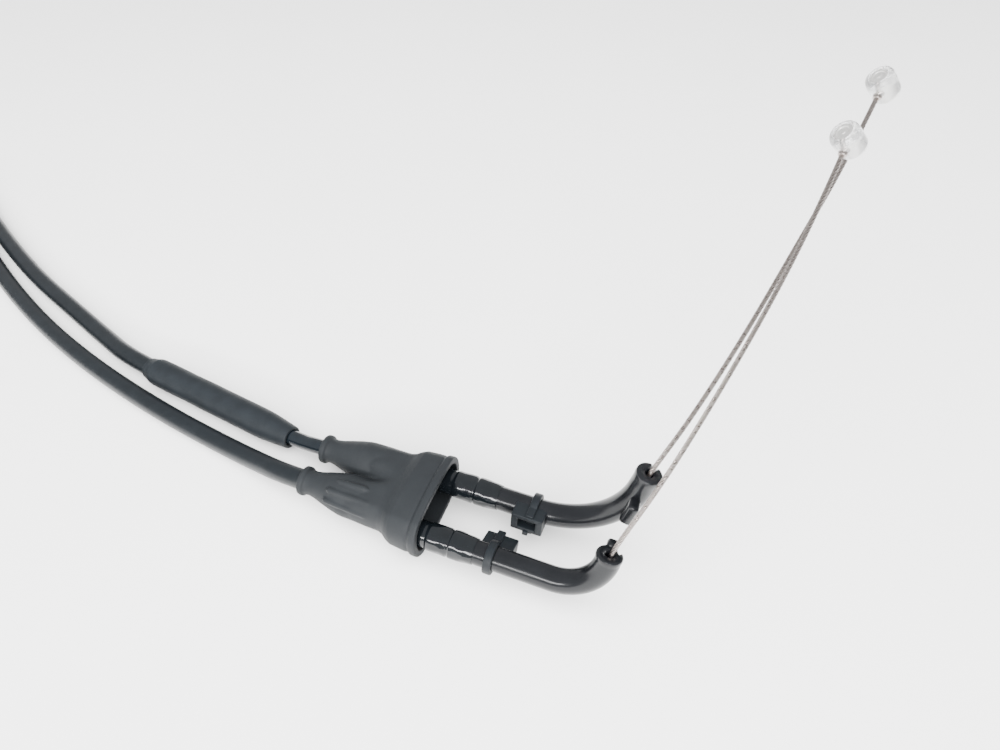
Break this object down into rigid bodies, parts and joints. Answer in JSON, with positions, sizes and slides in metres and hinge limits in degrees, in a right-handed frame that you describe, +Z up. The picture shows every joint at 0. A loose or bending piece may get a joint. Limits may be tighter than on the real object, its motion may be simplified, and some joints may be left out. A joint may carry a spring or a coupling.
{
  "type": "push-pull throttle cable grip end",
  "caption": "Twin throttle cable with a rubber Y boot, clip-in elbows, sleeved adjuster, stranded wires ending in clear cross barrels, and a tied coil of conduit with threaded far ends.",
  "frame": {"origin": "on the table, under the middle of the box round the boot, sleeve and elbows", "axes": "+X along the elbow tubes away from the conduits, +Y from the return side to the pull side, +Z up"},
  "size_m": [0.4227, 0.1597, 0.097],
  "materials": {
    "boot_rubber": "matte",
    "sleeve_rubber": "matte",
    "elbow_plastic": "gloss",
    "liner_plastic": "satin",
    "collar_plastic": "gloss",
    "stem_plastic": "gloss",
    "housing_plastic": "satin",
    "tie_plastic": "satin",
    "zinc_steel": "satin",
    "clear_nylon": "gloss",
    "core_metal": "satin",
    "steel_strand": "satin",
    "seal_rubber": "matte"
  },
  "bodies": {
    "root": {"y_boot": "boot_rubber", "adjuster_sleeve": "sleeve_rubber", "pull_elbow": "elbow_plastic", "return_elbow": "elbow_plastic", "pull_elbow_liner": "liner_plastic", "return_elbow_liner": "liner_plastic", "pull_collar": "collar_plastic", "return_collar": "collar_plastic", "pull_stem": "stem_plastic", "return_end_ferrule": "zinc_steel", "pull_housing": "housing_plastic", "return_housing": "housing_plastic", "cable_coil": "housing_plastic", "pull_housing_tail": "housing_plastic", "return_housing_tail": "housing_plastic", "coil_tie": "tie_plastic", "conduit_end_cap": "zinc_steel", "adjuster_screw": "zinc_steel", "adjuster_body": "zinc_steel", "pull_wire": "steel_strand", "return_wire": "steel_strand", "pull_far_ferrule": "zinc_steel", "return_far_ferrule": "zinc_steel", "pull_dust_seal": "seal_rubber", "return_dust_seal": "seal_rubber"},
    "pull_barrel": {"pull_barrel_cap": "clear_nylon", "pull_barrel_core": "core_metal"},
    "return_barrel": {"return_barrel_cap": "clear_nylon", "return_barrel_core": "core_metal"},
    "pull_far_end": {"pull_far_wire": "steel_strand", "pull_far_nipple": "core_metal"},
    "return_far_end": {"return_far_wire": "steel_strand", "return_far_nipple": "core_metal"},
    "lock_nut": {"adjuster_lock_nut": "zinc_steel"},
    "pull_nut_inner": {"pull_inner_jam_nut": "zinc_steel"},
    "pull_nut_outer": {"pull_outer_jam_nut": "zinc_steel"},
    "return_nut_inner": {"return_inner_jam_nut": "zinc_steel"},
    "return_nut_outer": {"return_outer_jam_nut": "zinc_steel"}
  },
  "joints": [
    {"name": "pull_wire_slide", "type": "slide", "parent": "root", "child": "pull_barrel", "axis": [0.2518, 0.8431, 0.4751], "range_m": [-0.035, 0], "deforming": ["pull_wire"]},
    {"name": "return_wire_slide", "type": "slide", "parent": "root", "child": "return_barrel", "axis": [0.2388, 0.7836, 0.5735], "range_m": [-0.035, 0], "deforming": ["return_wire"]},
    {"name": "pull_far_slide", "type": "slide", "parent": "root", "child": "pull_far_end", "axis": [1, 0, 0], "range_m": [0, 0.035]},
    {"name": "return_far_slide", "type": "slide", "parent": "root", "child": "return_far_end", "axis": [1, 0, 0], "range_m": [0, 0.035]},
    {"name": "lock_nut_travel", "type": "slide", "parent": "root", "child": "lock_nut", "axis": [0.99, -0.1409, 0], "range_m": [-0.009, 0]},
    {"name": "pull_inner_nut_travel", "type": "slide", "parent": "root", "child": "pull_nut_inner", "axis": [1, 0, 0], "range_m": [0, 0.006]},
    {"name": "pull_outer_nut_travel", "type": "slide", "parent": "root", "child": "pull_nut_outer", "axis": [1, 0, 0], "range_m": [0, 0.006]},
    {"name": "return_inner_nut_travel", "type": "slide", "parent": "root", "child": "return_nut_inner", "axis": [1, 0, 0], "range_m": [0, 0.006]},
    {"name": "return_outer_nut_travel", "type": "slide", "parent": "root", "child": "return_nut_outer", "axis": [1, 0, 0], "range_m": [0, 0.006]}
  ],
  "couplings": [
    {"joint": "pull_far_slide", "follows": "pull_wire_slide", "ratio": -1},
    {"joint": "return_far_slide", "follows": "return_wire_slide", "ratio": -1}
  ]
}
